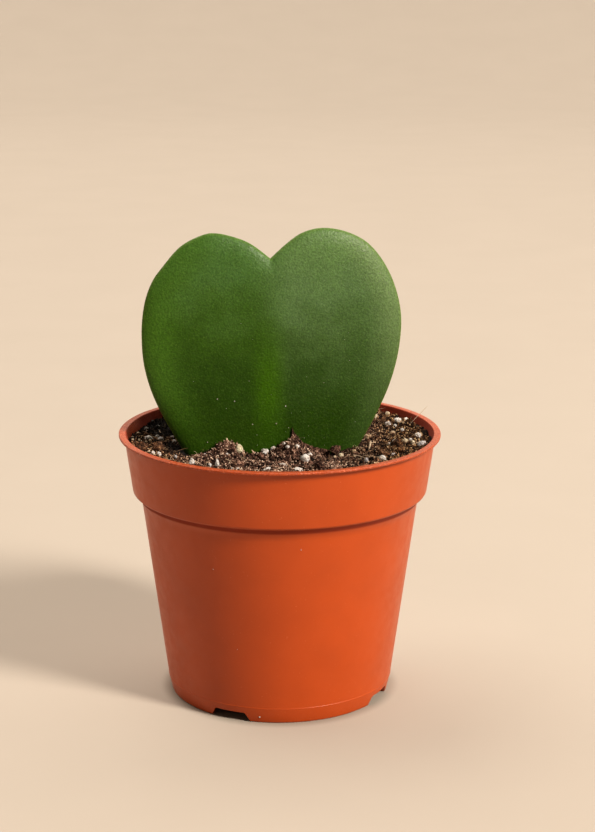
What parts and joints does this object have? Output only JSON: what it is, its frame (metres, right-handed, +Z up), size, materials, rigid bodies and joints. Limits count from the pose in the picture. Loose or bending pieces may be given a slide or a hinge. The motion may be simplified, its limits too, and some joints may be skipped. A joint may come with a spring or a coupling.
{
  "type": "potted hoya plant",
  "caption": "Single rooted heart-shaped succulent leaf standing upright in a round terracotta-coloured plastic nursery pot of dark peat and white perlite.",
  "frame": {"origin": "Centre of the pot's base, on the surface that it stands on.", "axes": "+Z is up, along the pot's axis. -Y is the front, which the broad face of the leaf is turned to. +X is to the right, seen from the front."},
  "size_m": [0.09, 0.09, 0.1324],
  "materials": {
    "pot_plastic": "satin",
    "potting_mix": "matte",
    "leaf_skin": "satin"
  },
  "bodies": {
    "root": {"pot": "pot_plastic", "soil": "potting_mix", "leaf": "leaf_skin"}
  },
  "joints": []
}
